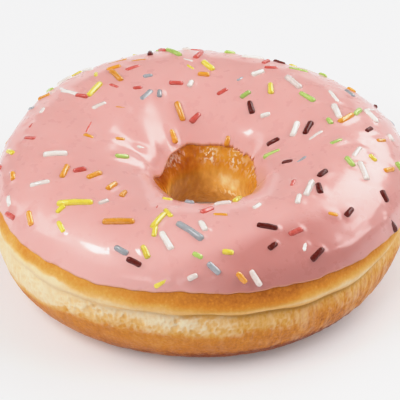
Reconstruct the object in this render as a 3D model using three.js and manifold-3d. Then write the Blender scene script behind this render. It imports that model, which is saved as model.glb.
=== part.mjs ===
// A ring doughnut of raised yeast dough with pink icing and sugar sprinkles.
// Millimetres, +Z up. The origin is on the surface that the doughnut rests on, under its middle.
//
// Every point of the ring is given by two angles. The azimuth goes round the ring from +X towards
// +Y. The section angle goes round the dough at that azimuth: 0 is the outer waist, a quarter turn
// is the crest, half a turn is the wall of the hole and three quarters of a turn is the base.

import * as THREE from "three";
import { ParametricGeometry } from "three/addons/geometries/ParametricGeometry.js";
import { mergeVertices } from "three/addons/utils/BufferGeometryUtils.js";
import Module from "manifold-3d";

// Driving dimensions.
const OUTER_RADIUS = 46;
const CREST_RADIUS = 29.6;
const HOLE_RADIUS = 9.3;
const CENTRE_X = -1.1;
const CENTRE_Y = -0.9;
const HOLE_SHIFT_X = 1.8;
const HOLE_SHIFT_Y = -3.4;
const DOUGH_HEIGHT = 29.4;
const WAIST_HEIGHT = 18;
const BASE_SINK = 0.9;
const FOLD_DEPTH = 1.2;
const FOLD_LIP = 0.45;
const LUMP_HEIGHT = 0.22;
const ICING_GAP = 0.42;
const ICING_THICKNESS = 0.95;
const ICING_BEAD = 0.016;
const ICING_OUTER_EDGE = 0.304;
const ICING_INNER_EDGE = 2.625;

// Where the icing runs deeper into the hole: how much in radians, then middle and width in degrees.
const ICING_RUNS = [[0.17, 168, 18], [0.08, 0, 18]];

// The fold at the waist, in radians of the section: the groove's width above and below its line,
// and how far above it the lip is, and the lip's width.
const GROOVE_WIDTH = { above: 0.055, below: 0.13 };
const LIP_ABOVE = 0.17;
const LIP_WIDTH = 0.11;

// How deep the fold is all round, and how much deeper in front and at the back: share of its
// depth, then middle and width in degrees.
const FOLD_ROUND = 0.22;
const FOLD_DEEPER = [[0.78, -62, 52], [0.5, 105, 48]];

// Fullness of the section: 1 is an ellipse, and less is squarer.
const FULLNESS = { outerTop: 0.85, outerBottom: 0.76, hole: 1, top: 0.96, bottom: 0.93 };
const FULLNESS_BLEND = 0.35;

// Sprinkles.
const SPRINKLE_COUNT = 165;
const SPRINKLE_SIDES = 6;
const SPRINKLE_THICKNESS = { least: 1.05, forLength: 0.08, spread: 0.2 };
const SPRINKLE_LENGTH = { least: 2.3, spread: 3.2 };
const SPRINKLE_SPACING = 3;
const SPRINKLE_RISE = 0.1;
const SPRINKLE_END = 0.3;
const SCATTER_SEED = 18170;
const SCATTER_TRIES = 4000;
const SCATTER_MARGIN = 0.17;
const BACK_FAVOUR = 0.3;
const FRONT_RIM_THINNING = 0.6;

// Steps round the ring, round the dough's section and across the icing.
const RING_STEPS = 56;
const SECTION_STEPS = 26;
const ICING_STATIONS = 11;
const WAIST_CROWDING = 0.55;

// Colours and finishes.
const CRUST = { color: 0xd9964a, roughness: 0.62, metalness: 0 };
const ICING = { color: 0xefb3b5, roughness: 0.22, metalness: 0 };

const FULL_TURN = 2 * Math.PI;
const NUDGE = 1e-3;

const radians = THREE.MathUtils.degToRad;
const { lerp, smoothstep } = THREE.MathUtils;

// The sum of cosine waves round the ring, each a count of waves, a height and a phase in degrees.
function waves(azimuth, terms) {
  return terms.reduce(
    (sum, [count, height, phase]) => sum + height * Math.cos(count * azimuth - radians(phase)),
    0,
  );
}

// A smooth hump round the ring, 1 at its middle; middle and width in degrees.
function hump(azimuth, middle, width) {
  return Math.exp((Math.cos(azimuth - radians(middle)) - 1) / radians(width) ** 2);
}

// A base value with humps on it, each a height, a middle and a width.
function humps(azimuth, base, terms) {
  return terms.reduce(
    (sum, [height, middle, width]) => sum + height * hump(azimuth, middle, width),
    base,
  );
}

function outerRadius(azimuth) {
  return OUTER_RADIUS + waves(azimuth, [[2, 1.26, 18], [3, 0.5, -53], [4, 0.52, 121]]);
}

function waistHeight(azimuth) {
  return WAIST_HEIGHT + waves(azimuth, [[1, 0.32, 162], [5, 0.12, 40], [9, 0.08, 200]]);
}

function foldDepth(azimuth) {
  return humps(azimuth, FOLD_ROUND, FOLD_DEEPER);
}

// The fold at the waist, along the radius: a groove with a steep upper side and a soft lower side,
// and above it the lip of the upper lobe.
function fold(azimuth, angle) {
  const width = angle > 0 ? GROOVE_WIDTH.above : GROOVE_WIDTH.below;
  const groove = -FOLD_DEPTH * Math.exp(-((angle / width) ** 2));
  const lip = FOLD_LIP * Math.exp(-(((angle - LIP_ABOVE) / LIP_WIDTH) ** 2));
  return foldDepth(azimuth) * (groove + lip);
}

// The uneven rise of the dough, in and out along the section's radius.
function lumps(azimuth, angle) {
  const broad = Math.sin(3 * azimuth + 1) * Math.cos(angle - 0.6);
  const narrow = Math.sin(5 * azimuth - 2 * angle + 0.5);
  return LUMP_HEIGHT * (broad + 0.5 * narrow);
}

// A cosine or sine made squarer, with its sign kept.
function fuller(value, fullness) {
  return Math.sign(value) * Math.abs(value) ** fullness;
}

// A point of the bare dough.
function doughPoint(azimuth, angle) {
  const turned = Math.atan2(Math.sin(angle), Math.cos(angle));
  const along = Math.cos(turned);
  const up = Math.sin(turned);
  const outerFullness = up > 0 ? FULLNESS.outerTop : FULLNESS.outerBottom;
  const blend = smoothstep(along, -FULLNESS_BLEND, FULLNESS_BLEND);
  const reach = fuller(along, lerp(FULLNESS.hole, outerFullness, blend));
  const width = along > 0 ? outerRadius(azimuth) - CREST_RADIUS : CREST_RADIUS - HOLE_RADIUS;
  const waist = waistHeight(azimuth);
  const rise = up > 0 ? DOUGH_HEIGHT - waist : waist + BASE_SINK;
  const height = rise * fuller(up, up > 0 ? FULLNESS.top : FULLNESS.bottom);
  const swell = lumps(azimuth, turned);
  const radius = CREST_RADIUS + width * reach + swell * along + fold(azimuth, turned);
  const inward = Math.max(-reach, 0);
  return new THREE.Vector3(
    CENTRE_X + radius * Math.cos(azimuth) + HOLE_SHIFT_X * inward,
    CENTRE_Y + radius * Math.sin(azimuth) + HOLE_SHIFT_Y * inward,
    Math.max(waist + height + swell * Math.max(up, 0), 0),
  );
}

// The directions at a point of the dough: round the ring, over the section and straight out of it.
function doughFrame(azimuth, angle) {
  const around = doughPoint(azimuth + NUDGE, angle).sub(doughPoint(azimuth - NUDGE, angle));
  const over = doughPoint(azimuth, angle + NUDGE).sub(doughPoint(azimuth, angle - NUDGE));
  around.normalize();
  const out = new THREE.Vector3().crossVectors(around, over).normalize();
  over.crossVectors(out, around);
  return { around, over, out };
}

function liftedPoint(azimuth, angle, lift) {
  return doughPoint(azimuth, angle).addScaledVector(doughFrame(azimuth, angle).out, lift);
}

// The section angles where the icing ends: on the outside of the ring and in the hole.
function icingOuterEdge(azimuth) {
  const sweep = waves(azimuth, [[1, 0.161, -130], [2, 0.048, 209], [3, 0.025, 187]]);
  return ICING_OUTER_EDGE + sweep + waves(azimuth, [[7, 0.014, 70], [11, 0.011, 10], [17, 0.007, 250]]);
}

function icingInnerEdge(azimuth) {
  const ripple = waves(azimuth, [[5, 0.012, 60], [9, 0.012, 110], [14, 0.007, 300]]);
  return humps(azimuth, ICING_INNER_EDGE, ICING_RUNS) + ripple;
}

// The icing's own section: over its top from the outer edge to the inner one and back underneath,
// with one point half way up each end as its bead.
function icingSection() {
  const bead = ICING_GAP + ICING_THICKNESS / 2;
  const station = (index) => lerp(ICING_BEAD, 1 - ICING_BEAD, index / ICING_STATIONS);
  const rows = [...Array(ICING_STATIONS + 1).keys()];
  const top = rows.map((row) => [station(row), ICING_GAP + ICING_THICKNESS]);
  const underside = rows.map((row) => [station(ICING_STATIONS - row), ICING_GAP]);
  return [[0, bead], ...top, [1, bead], ...underside];
}

// A closed geometry from a ParametricGeometry or LatheGeometry: seams and poles are merged, and
// the triangles that collapse on the way are dropped.
function closed(geometry) {
  geometry.deleteAttribute("normal");
  geometry.deleteAttribute("uv");
  const merged = mergeVertices(geometry);
  const corners = merged.index.array;
  const kept = [];
  for (let first = 0; first < corners.length; first += 3) {
    const triangle = [...corners.slice(first, first + 3)];
    if (new Set(triangle).size === 3) kept.push(...triangle);
  }
  merged.setIndex(kept);
  return merged;
}

function doughGeometry() {
  const surface = (round, across, target) => {
    const even = FULL_TURN * across;
    const angle = even - WAIST_CROWDING * Math.sin(even);
    target.copy(doughPoint(FULL_TURN * round, angle));
  };
  return closed(new ParametricGeometry(surface, RING_STEPS, SECTION_STEPS));
}

function icingShellGeometry() {
  const section = icingSection();
  const surface = (round, across, target) => {
    const [station, lift] = section[Math.round(across * section.length) % section.length];
    const azimuth = FULL_TURN * round;
    const angle = lerp(icingOuterEdge(azimuth), icingInnerEdge(azimuth), station);
    target.copy(liftedPoint(azimuth, angle, lift));
  };
  return closed(new ParametricGeometry(surface, RING_STEPS, section.length));
}

// The largest sprinkles, laid by hand. Azimuth and section angle in degrees; heading in degrees
// from the way round the ring towards the way over the section; length in millimetres.
const LAID_SPRINKLES = [
  { azimuth: -142, angle: 78, heading: 48, length: 8 },
  { azimuth: -143, angle: 68, heading: 98, length: 2.5 },
  { azimuth: -108, angle: 91, heading: 81, length: 6 },
  { azimuth: -81, angle: 65, heading: 168, length: 2.5 },
  { azimuth: 140, angle: 84, heading: 12, length: 6 },
  { azimuth: 87, angle: 87, heading: 128, length: 4.5 },
  { azimuth: 54, angle: 97, heading: 128, length: 4 },
  { azimuth: -122, angle: 81, heading: 28, length: 7 },
  { azimuth: -148, angle: 47, heading: 156, length: 4 },
  { azimuth: -144, angle: 104, heading: 109, length: 3.5 },
  { azimuth: 109, angle: 124, heading: 88, length: 5.5 },
  { azimuth: 124, angle: 140, heading: 80, length: 3.5 },
  { azimuth: 68, angle: 146, heading: 94, length: 2.5 },
  { azimuth: 127, angle: 82, heading: 83, length: 5.5 },
  { azimuth: -78, angle: 41, heading: 126, length: 3 },
  { azimuth: 17, angle: 78, heading: 120, length: 5 },
  { azimuth: 100, angle: 64, heading: 116, length: 6 },
  { azimuth: 108, angle: 61, heading: 78, length: 3 },
  { azimuth: 65, angle: 109, heading: 67, length: 3 },
  { azimuth: -11, angle: 80, heading: 38, length: 3.5 },
  { azimuth: -94, angle: 85, heading: 141, length: 7.5 },
  { azimuth: -115, angle: 58, heading: 166, length: 3.5 },
  { azimuth: -86, angle: 51, heading: 134, length: 3.5 },
  { azimuth: -110, angle: 51, heading: 165, length: 3.5 },
  { azimuth: -64, angle: 82, heading: 145, length: 4.5 },
  { azimuth: -66, angle: 64, heading: 25, length: 2.5 },
  { azimuth: -54, angle: 45, heading: 20, length: 4 },
  { azimuth: -35, angle: 61, heading: 5, length: 3 },
  { azimuth: -22, angle: 92, heading: 161, length: 3 },
  { azimuth: -32, angle: 88, heading: 41, length: 3.5 },
  { azimuth: 17, angle: 103, heading: 140, length: 4.5 },
  { azimuth: 58, angle: 117, heading: 131, length: 4 },
  { azimuth: -56, angle: 70, heading: 1, length: 3.5 },
  { azimuth: -88, angle: 110, heading: 42, length: 3.5 },
  { azimuth: -160, angle: 93, heading: 89, length: 3 },
  { azimuth: -102, angle: 74, heading: 126, length: 5.5 },
  { azimuth: -89, angle: 90, heading: 110, length: 3.5 },
  { azimuth: -173, angle: 83, heading: 84, length: 5.5 },
  { azimuth: -74, angle: 39, heading: 114, length: 4 },
  { azimuth: 48, angle: 84, heading: 164, length: 6 },
  { azimuth: 21, angle: 111, heading: 142, length: 5 },
  { azimuth: -34, angle: 93, heading: 16, length: 5.5 },
  { azimuth: -14, angle: 70, heading: 30, length: 6 },
  { azimuth: -78, angle: 122, heading: 10, length: 4 },
  { azimuth: 22, angle: 81, heading: 171, length: 5.5 },
];

let drawState = SCATTER_SEED;

// The next number of a seeded linear congruential generator, from 0 up to 1.
function draw() {
  drawState = (Math.imul(drawState, 1664525) + 1013904223) >>> 0;
  return drawState / 2 ** 32;
}

function sprinkleThickness(length, share) {
  const { least, forLength, spread } = SPRINKLE_THICKNESS;
  return least + forLength * length + spread * share;
}

// How likely a drawn place is to be used: even by area, more at the back and less low at the front.
function sprinkleChance(azimuth, angle, spot) {
  const reach = Math.hypot(spot.x - CENTRE_X, spot.y - CENTRE_Y) / OUTER_RADIUS;
  const back = (1 + BACK_FAVOUR * Math.sin(azimuth)) / (1 + BACK_FAVOUR);
  const lowFront = Math.max(-Math.sin(azimuth), 0) * Math.max(Math.cos(angle), 0);
  return reach * back * (1 - FRONT_RIM_THINNING * lowFront);
}

// The sprinkles laid by hand, then as many more as are wanted: each try draws a place on the icing,
// which is kept by its chance and where it is clear of the others.
function sprinklePlaces() {
  const iced = ICING_GAP + ICING_THICKNESS;
  const places = LAID_SPRINKLES.map(({ azimuth, angle, heading, length }) => ({
    azimuth: radians(azimuth),
    angle: radians(angle),
    heading: radians(heading),
    length,
    thickness: sprinkleThickness(length, 0.5),
    spot: liftedPoint(radians(azimuth), radians(angle), iced),
  }));
  for (let tried = 0; tried < SCATTER_TRIES && places.length < SPRINKLE_COUNT; tried += 1) {
    const azimuth = FULL_TURN * draw();
    const low = icingOuterEdge(azimuth) + SCATTER_MARGIN;
    const angle = lerp(low, icingInnerEdge(azimuth) - 2 * SCATTER_MARGIN, draw());
    const spot = liftedPoint(azimuth, angle, iced);
    const wanted = draw() < sprinkleChance(azimuth, angle, spot);
    const heading = Math.PI * draw();
    const length = SPRINKLE_LENGTH.least + SPRINKLE_LENGTH.spread * draw() ** 2;
    const thickness = sprinkleThickness(length, draw());
    const clear = places.every((other) => other.spot.distanceTo(spot) > SPRINKLE_SPACING);
    if (wanted && clear) places.push({ azimuth, angle, heading, length, thickness, spot });
  }
  return places;
}

// One sprinkle: a rod with blunt cone ends, laid along its heading and half sunk in the icing.
function sprinkleGeometry({ azimuth, angle, heading, length, thickness }) {
  const radius = thickness / 2;
  const half = length / 2;
  const shoulder = half - SPRINKLE_END * thickness;
  const profile = [
    new THREE.Vector2(0, -half),
    new THREE.Vector2(radius, -shoulder),
    new THREE.Vector2(radius, shoulder),
    new THREE.Vector2(0, half),
  ];
  const { around, over, out } = doughFrame(azimuth, angle);
  const along = around.multiplyScalar(Math.cos(heading)).addScaledVector(over, Math.sin(heading));
  const side = new THREE.Vector3().crossVectors(along, out);
  const lift = ICING_GAP + ICING_THICKNESS + SPRINKLE_RISE;
  const placing = new THREE.Matrix4().makeBasis(side, along, out);
  placing.setPosition(liftedPoint(azimuth, angle, lift));
  return closed(new THREE.LatheGeometry(profile, SPRINKLE_SIDES)).applyMatrix4(placing);
}

const wasm = await Module();
wasm.setup();

function toSolid(geometry) {
  const vertProperties = Float32Array.from(geometry.attributes.position.array);
  const triVerts = Uint32Array.from(geometry.index.array);
  return new wasm.Manifold(new wasm.Mesh({ numProp: 3, vertProperties, triVerts }));
}

function toGeometry(solid) {
  const { vertProperties, triVerts } = solid.getMesh();
  const geometry = new THREE.BufferGeometry();
  geometry.setAttribute("position", new THREE.BufferAttribute(vertProperties, 3));
  geometry.setIndex(new THREE.BufferAttribute(triVerts, 1));
  return geometry;
}

// The icing with its sprinkles fused to it.
function icingGeometry() {
  const sprinkles = sprinklePlaces().map((place) => toSolid(sprinkleGeometry(place)));
  const shell = toSolid(icingShellGeometry());
  return toGeometry(sprinkles.reduce((body, sprinkle) => body.add(sprinkle), shell));
}

function namedMesh(name, geometry, finish) {
  const mesh = new THREE.Mesh(geometry, new THREE.MeshStandardMaterial(finish));
  mesh.name = name;
  return mesh;
}

const doughnut = new THREE.Group();
doughnut.add(namedMesh("dough", doughGeometry(), CRUST));
doughnut.add(namedMesh("icing", icingGeometry(), ICING));

export default doughnut;
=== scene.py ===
"""A ring doughnut with pink icing and sugar sprinkles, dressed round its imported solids.

Every point of the ring is given by two angles, in radians. The azimuth goes round the ring from +X
towards +Y. The section angle goes round the dough at that azimuth: 0 is the outer waist, a quarter
turn is the crest, half a turn is the wall of the hole and three quarters of a turn is the base.
"""

import math

import bpy
import numpy as np
from bpy.props import FloatProperty, FloatVectorProperty, IntProperty, PointerProperty
from mathutils import Matrix, Vector


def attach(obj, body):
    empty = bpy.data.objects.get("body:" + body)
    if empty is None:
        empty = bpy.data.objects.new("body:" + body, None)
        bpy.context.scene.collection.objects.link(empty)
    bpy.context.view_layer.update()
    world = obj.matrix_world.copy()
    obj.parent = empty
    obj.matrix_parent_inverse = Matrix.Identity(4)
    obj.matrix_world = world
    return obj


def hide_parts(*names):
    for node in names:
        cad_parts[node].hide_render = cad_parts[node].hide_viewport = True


bl_info = {
    "name": "Sprinkle frosted doughnut",
    "version": (1, 0, 0),
    "blender": (4, 5, 0),
    "location": "View3D > Sidebar > Doughnut",
    "description": "Makes a raised ring doughnut with icing, sprinkles and a pale stage",
    "category": "Add Mesh",
}

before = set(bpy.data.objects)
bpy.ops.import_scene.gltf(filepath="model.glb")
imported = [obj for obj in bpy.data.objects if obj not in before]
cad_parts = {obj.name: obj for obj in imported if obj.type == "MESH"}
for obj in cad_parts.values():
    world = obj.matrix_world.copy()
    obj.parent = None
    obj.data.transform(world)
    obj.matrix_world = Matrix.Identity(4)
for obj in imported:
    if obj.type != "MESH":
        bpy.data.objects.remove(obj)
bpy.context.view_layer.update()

MM = 0.001
FULL_TURN = 2 * math.pi
QUARTER = math.pi / 2
BODY = "root"

# A small step of an angle, from which directions along the surface are worked out.
NUDGE = 1e-3

# Turned axes, for fine noise that would show its boxes if they stood upright.
LEANING = np.array([(0.8, 0.6, 0.0), (-0.48, 0.64, 0.6), (0.36, -0.48, 0.8)])

# Section angle to distance along the surface, on the round of the dough.
SECTION_RADIUS = 15.5 * MM


# ------------------------ sizes and colours


def millimetres(name, default, description):
    """A length that is written here in millimetres and kept in metres."""
    return FloatProperty(
        name=name, default=default * MM, description=description, unit="LENGTH", precision=5
    )


def share(name, default, description):
    return FloatProperty(name=name, default=default, description=description, min=0, max=4)


def count(name, default, description):
    return IntProperty(name=name, default=default, description=description, min=1)


def degrees(name, default, description):
    return FloatProperty(
        name=name, default=math.radians(default), description=description, unit="ROTATION"
    )


def colour(name, code, description):
    """A colour that is written here as a web colour and kept in linear light, by the sRGB curve."""
    parts = [int(code[at : at + 2], 16) / 255 for at in (0, 2, 4)]
    linear = [part / 12.92 if part <= 0.04045 else ((part + 0.055) / 1.055) ** 2.4 for part in parts]
    return FloatVectorProperty(
        name=name, default=linear, description=description, subtype="COLOR", size=3, min=0, max=1
    )


class DoughSizes(bpy.types.PropertyGroup):
    """The ring of dough."""

    outer_radius: millimetres("Outer radius", 46, "From the middle to the waist")
    crest_radius: millimetres("Crest radius", 29.6, "From the middle to the highest line")
    hole_radius: millimetres("Hole radius", 9.3, "Of the narrowest part of the hole")
    centre_x: millimetres("Middle X", -1.1, "Of the ring, from the middle of its outline")
    centre_y: millimetres("Middle Y", -0.9, "Of the ring, from the middle of its outline")
    hole_shift_x: millimetres("Hole shift X", 1.8, "How far the hole is off the middle")
    hole_shift_y: millimetres("Hole shift Y", -3.4, "How far the hole is off the middle")
    height: millimetres("Dough height", 29.4, "Of the crest, without icing")
    waist: millimetres("Waist height", 18, "Of the widest line")
    base_sink: millimetres("Base sink", 0.9, "How much of the round is flat where it rests")
    lump: millimetres("Lumps", 0.22, "Height of the broad unevenness")
    fold_depth: millimetres("Fold depth", 0.75, "Of the soft fold at the waist, where it is deepest")
    crease_depth: millimetres("Crease depth", 0.45, "Of the sharp crease in the fold")
    fold_lip: millimetres("Fold lip", 0.45, "How far the upper lobe stands out over the fold")
    wrinkle: millimetres("Wrinkles", 0.36, "Height of the wrinkles in the pale band")
    blister: millimetres("Blisters", 0.07, "Height of the small bumps of the fried crust")
    glaze_run: millimetres("Glaze runs", 0.4, "Height of the runs of glaze in the hole")
    ring_steps: count("Ring steps", 760, "Faces round the ring")
    section_steps: count("Section steps", 130, "Faces round the section")


class IcingSizes(bpy.types.PropertyGroup):
    """The icing on the dough."""

    lift: millimetres("Lift", 1.37, "Of its top above the dough, where it is full")
    edge_lift: millimetres("Edge lift", 0.6, "Of its top above the dough, near its edge")
    thickening: millimetres("Thickening", 6, "Distance from the edge to where it is full")
    bead: millimetres("Bead", 0.5, "Radius of the rounded edge")
    overlap: millimetres("Overlap", 0.2, "How far its underside reaches into the dough")
    ripple: millimetres("Ripple", 0.1, "Height of its soft undulation")
    run: millimetres("Runs", 0.22, "Height of its folds where it runs into the hole")
    meniscus: millimetres("Meniscus", 0.16, "Rise of the icing beside a sprinkle")
    ring_steps: count("Ring steps", 720, "Faces round the ring")
    top_steps: count("Top steps", 112, "Faces across its top")
    under_steps: count("Underside steps", 16, "Faces across its underside")


class SprinkleSizes(bpy.types.PropertyGroup):
    """The sprinkles on the icing."""

    amount: count("Amount", 165, "How many there are in all")
    seed: count("Seed", 18170, "Of the scatter")
    colour_seed: count("Colour seed", 20402, "Of the colours that are drawn")
    least_length: millimetres("Least length", 2.3, "Of a scattered sprinkle")
    more_length: millimetres("More length", 3.2, "What the longest scattered one has besides")
    least_thickness: millimetres("Least thickness", 1.05, "Before its length is counted")
    more_thickness: millimetres("More thickness", 0.2, "What the thickest has besides")
    for_length: share("Thickness for length", 0.08, "Thickness that each length adds")
    spacing: millimetres("Spacing", 3, "Least distance between two")
    rise: millimetres("Rise", 0.1, "Of the middle line above the icing")
    sink: millimetres("Sink", 0.62, "How much lower the deepest scattered one lies")


class Colours(bpy.types.PropertyGroup):
    """Colours of the crust, the icing and the sprinkles."""

    # Painted highlight: the wrinkles' tops in the pale band, and the glints in the hole, take this
    # colour.
    highlight_cream: colour("Cream", "fff3d8", "Of the wrinkles' tops in the pale band")
    pale: colour("Pale crust", "f5dab0", "Of the band at the waist that the oil didn't reach")
    straw: colour("Straw crust", "f0bf78", "Next to the pale band")
    gold: colour("Golden crust", "e4a850", "Of the upper lobe where it is light")
    brown: colour("Brown crust", "db8c34", "Of the lower half")
    deep: colour("Deep brown crust", "c3722c", "Of the lower half where it is darker")
    # This colour is also reached where the base is painted darker at the front's right, a painted
    # shade.
    dark: colour("Dark crust", "8e3e0c", "Of the base")
    # Painted shade: the crease of the fold is darkened to this colour.
    crease: colour("Crease", "a06a24", "Deep in the fold")
    crumb: colour("Crumb", "fbf2c4", "Of the palest part of the hole's wall")
    honey: colour("Honey", "e4ae56", "Of the hole's wall next to the crumb")
    amber: colour("Amber", "dd952f", "Of the upper half of the hole's wall")
    olive: colour("Olive", "b2782c", "Of the lower half of the hole's wall")
    umber: colour("Umber", "8c5214", "Of the lower half of the hole's wall where it is darkest")
    russet: colour("Russet", "be6a1e", "Of the upper half of the hole's wall where it is browner")
    # Also the colour of the painted shade in the groove under the icing's lip at the hole's left.
    burnt: colour("Burnt", "98400c", "Of the hole's rim where it is darkest")
    icing: colour("Icing", "f7bbb5", "Of the icing")
    icing_deep: colour("Deep icing", "cb847d", "Of the icing where it is thin")
    orange: colour("Orange", "f5a02c", "Of the orange sprinkles")
    yellow: colour("Yellow", "eed444", "Of the yellow sprinkles")
    lime: colour("Lime", "b6d068", "Of the lime sprinkles")
    white: colour("White", "ffe7df", "Of the white sprinkles")
    coral: colour("Coral", "df5e52", "Of the coral sprinkles")
    chocolate: colour("Chocolate", "62170d", "Of the chocolate sprinkles")
    grey: colour("Grey", "a6a8ac", "Of the grey sprinkles")
    floor: colour("Floor", "ececee", "Of the floor")


class StageSizes(bpy.types.PropertyGroup):
    """The floor, the camera and the lights."""

    floor_size: millimetres("Floor", 6000, "Side of the floor")
    camera_distance: millimetres("Camera distance", 535.3, "From the point it looks at")
    camera_height: degrees("Camera height", 38, "Angle above the horizon")
    camera_roll: degrees("Camera roll", 0.25, "Turn about its own axis")
    aim_height: millimetres("Aim height", 17, "Of the ring's middle that the view is centred on")
    aim_down: millimetres("Aim down", 1.63, "How far the view's middle is below that")
    aim_left: millimetres("Aim left", 0.11, "How far the view's middle is left of that")
    focal_length: FloatProperty(
        name="Focal length", default=213.03, description="Of the lens", subtype="DISTANCE_CAMERA"
    )
    world_strength: share("World", 0.06, "Strength of the pale light from all round")
    bounce_width: millimetres("Bounce width", 16, "Of the light under the hole")
    bounce_power: FloatProperty(
        name="Bounce power", default=0.0021, description="In watts", precision=5
    )
    floor_glow: share("Floor glow", 0.15, "Light that the floor gives off, as a light table does")


class Doughnut(bpy.types.PropertyGroup):
    """All that can be changed."""

    dough: PointerProperty(type=DoughSizes)
    icing: PointerProperty(type=IcingSizes)
    sprinkles: PointerProperty(type=SprinkleSizes)
    colours: PointerProperty(type=Colours)
    stage: PointerProperty(type=StageSizes)


def settings():
    return bpy.context.scene.doughnut


# ------------------------ arithmetic


def waves(azimuth, terms):
    """The sum of cosine waves round the ring: each has a count, a height and a phase in degrees."""
    return sum(height * np.cos(n * azimuth - math.radians(phase)) for n, height, phase in terms)


def hump(azimuth, middle, width):
    """A smooth hump round the ring, 1 at its middle; middle and width in degrees."""
    return np.exp((np.cos(azimuth - math.radians(middle)) - 1) / math.radians(width) ** 2)


def bell(distance, width):
    """A bell curve, 1 at no distance."""
    return np.exp(-((distance / width) ** 2))


def lerp(low, high, part):
    return low + (high - low) * part


def smooth(value, low=0.0, high=1.0):
    """0 below low, 1 above high, and a smooth slope between them."""
    part = np.clip((value - low) / (high - low), 0, 1)
    return part * part * (3 - 2 * part)


def fuller(value, fullness):
    """A cosine or sine made squarer, with its sign kept."""
    return np.sign(value) * np.abs(value) ** fullness


def unit(vectors):
    return vectors / np.linalg.norm(vectors, axis=-1, keepdims=True)


def noise(points, size, seed):
    """Smooth random heights from -1 to 1: a drawn value at each corner of a grid of boxes as large
    as size, and between the corners the eight nearest values, mixed by smooth weights."""
    side = 48
    values = np.random.default_rng(seed).uniform(-1, 1, (side, side, side))
    scaled = points / np.asarray(size)
    cell = np.floor(scaled).astype(int)
    part = smooth(scaled - cell)
    total = np.zeros(points.shape[:-1])
    for corner in np.ndindex(2, 2, 2):
        weight = np.prod(np.where(corner, part, 1 - part), axis=-1)
        at = (cell + corner) % side
        total += weight * values[at[..., 0], at[..., 1], at[..., 2]]
    return total


def crowded(start, end, steps, busy, fineness=4000):
    """Steps values from start towards end, closer together where busy says so. busy takes the
    values and gives how crowded each is; the values are read off its running sum at even heights."""
    fine = np.linspace(start, end, fineness + 1)
    running = np.concatenate([[0], np.cumsum(busy((fine[1:] + fine[:-1]) / 2))])
    return np.interp(np.arange(steps) / steps * running[-1], running, fine)


# ------------------------ the form of the ring


def from_waist(angle):
    """The same section angle, from minus half a turn to half a turn."""
    return np.arctan2(np.sin(angle), np.cos(angle))


def in_hole(turned):
    """0 on the outside of the ring, 1 on the wall of the hole and a smooth slope between them."""
    return smooth(np.abs(turned), QUARTER, 2.3)


def outer_radius(azimuth):
    uneven = waves(azimuth, [(2, 1.26, 18), (3, 0.5, -53), (4, 0.52, 121)])
    return settings().dough.outer_radius + uneven * MM


def waist_height(azimuth):
    uneven = waves(azimuth, [(1, 0.32, 162), (5, 0.12, 40), (9, 0.08, 200)])
    return settings().dough.waist + uneven * MM


def fold_depth(azimuth):
    """How deep the fold is, as a share of its deepest."""
    return 0.22 + 0.78 * hump(azimuth, -62, 52) + 0.5 * hump(azimuth, 105, 48)


def fold_line(azimuth):
    """The section angle that the fold follows."""
    sag = 0.045 * hump(azimuth, -75, 30) + 0.03 * hump(azimuth, -52, 14)
    return 0.015 - sag + waves(azimuth, [(4, 0.022, 8), (20, 0.013, 40)])


def crease_depth(azimuth):
    """How deep the sharp crease inside the fold is, as a share of its deepest."""
    return hump(azimuth, -60, 25) + 0.08 * hump(azimuth, -115, 20) + 0.6 * hump(azimuth, 108, 40)


def fold(azimuth, angle):
    """The fold at the waist: a soft groove with a steep upper side, the lip of the upper lobe above
    it, and a sharp crease along its line, which fades out towards the sides."""
    sizes = settings().dough
    above = angle - fold_line(azimuth)
    soft = bell(above, np.where(above > 0, 0.055, 0.14))
    lip = bell(above - 0.17, 0.11)
    sharp = bell(above, np.where(above > 0, 0.018, 0.04))
    broad = sizes.fold_lip * lip - sizes.fold_depth * soft
    return fold_depth(azimuth) * broad - sizes.crease_depth * crease_depth(azimuth) * sharp


def lumps(azimuth, angle):
    """The uneven rise of the dough, in and out along the section's radius."""
    broad = np.sin(3 * azimuth + 1) * np.cos(angle - 0.6)
    narrow = np.sin(5 * azimuth - 2 * angle + 0.5)
    return settings().dough.lump * (broad + 0.5 * narrow)


def dough_point(azimuth, angle):
    """The bare dough. The section is an ellipse, made fuller where its corners are squarer, from
    the outer radius over the crest to the hole; the hole's circle is shifted off the middle."""
    sizes = settings().dough
    turned = from_waist(angle)
    along = np.cos(turned)
    up = np.sin(turned)
    blend = smooth(along, -0.35, 0.35)
    reach = fuller(along, lerp(1, np.where(up > 0, 0.85, 0.76), blend))
    outside = outer_radius(azimuth) - sizes.crest_radius
    width = np.where(along > 0, outside, sizes.crest_radius - sizes.hole_radius)
    waist = waist_height(azimuth)
    rise = np.where(up > 0, sizes.height - waist, waist + sizes.base_sink)
    height = rise * fuller(up, np.where(up > 0, 0.96, 0.93))
    swell = lumps(azimuth, turned)
    radius = sizes.crest_radius + width * reach + swell * along + fold(azimuth, turned)
    inward = np.maximum(-reach, 0)
    x = sizes.centre_x + radius * np.cos(azimuth) + sizes.hole_shift_x * inward
    y = sizes.centre_y + radius * np.sin(azimuth) + sizes.hole_shift_y * inward
    z = np.maximum(waist + height + swell * np.maximum(up, 0), 0)
    return np.stack(np.broadcast_arrays(x, y, z), axis=-1)


def dough_frame(azimuth, angle):
    """The directions at a point of the dough: round the ring, over the section and straight out."""
    around = unit(dough_point(azimuth + NUDGE, angle) - dough_point(azimuth - NUDGE, angle))
    over = dough_point(azimuth, angle + NUDGE) - dough_point(azimuth, angle - NUDGE)
    out = unit(np.cross(around, over))
    return around, np.cross(out, around), out


def lifted_point(azimuth, angle, lift):
    out = dough_frame(azimuth, angle)[2]
    return dough_point(azimuth, angle) + out * np.asarray(lift)[..., None]


def icing_outer_edge(azimuth):
    """The section angle where the icing ends on the outside of the ring."""
    sweep = waves(azimuth, [(1, 0.161, -130), (2, 0.048, 209), (3, 0.025, 187)])
    return 0.304 + sweep + waves(azimuth, [(7, 0.014, 70), (11, 0.011, 10), (17, 0.007, 250)])


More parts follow.
